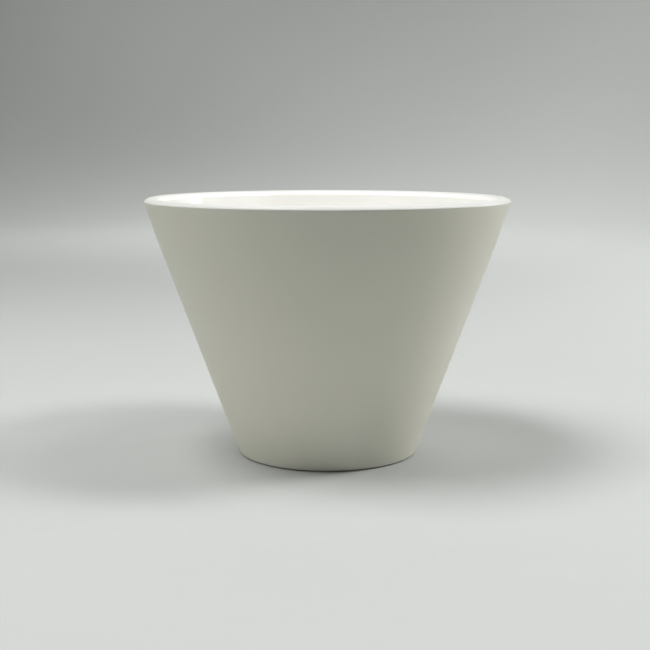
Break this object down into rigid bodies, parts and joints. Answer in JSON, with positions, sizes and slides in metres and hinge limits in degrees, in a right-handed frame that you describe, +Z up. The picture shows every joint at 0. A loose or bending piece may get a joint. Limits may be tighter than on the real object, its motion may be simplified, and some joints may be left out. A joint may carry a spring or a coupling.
{
  "type": "pour over dripper",
  "caption": "Handleless cone-shaped pour over coffee dripper in white porcelain, matte outside and glazed inside, with drain holes in its flat floor and a fluted paper filter that lifts out.",
  "frame": {"origin": "centre of the foot ring, on the plane the dripper stands on", "axes": "+Z up along the cone's axis, from the foot to the rim; the part looks the same from every side, and +X passes through one drain hole"},
  "size_m": [0.1072, 0.1072, 0.0765],
  "materials": {
    "bisque_porcelain": "satin, bare polished porcelain, warm white",
    "clear_glaze": "glossy clear glaze over white porcelain",
    "filter_paper": "matte bleached filter paper, faint crepe"
  },
  "bodies": {
    "dripper": {"porcelain_body": "bisque_porcelain", "interior_glaze": "clear_glaze"},
    "filter": {"paper_filter": "filter_paper"}
  },
  "joints": [
    {"name": "filter_lift", "type": "slide", "parent": "dripper", "child": "filter", "axis": [0, 0, 1], "range_m": [0, 0.07]}
  ]
}
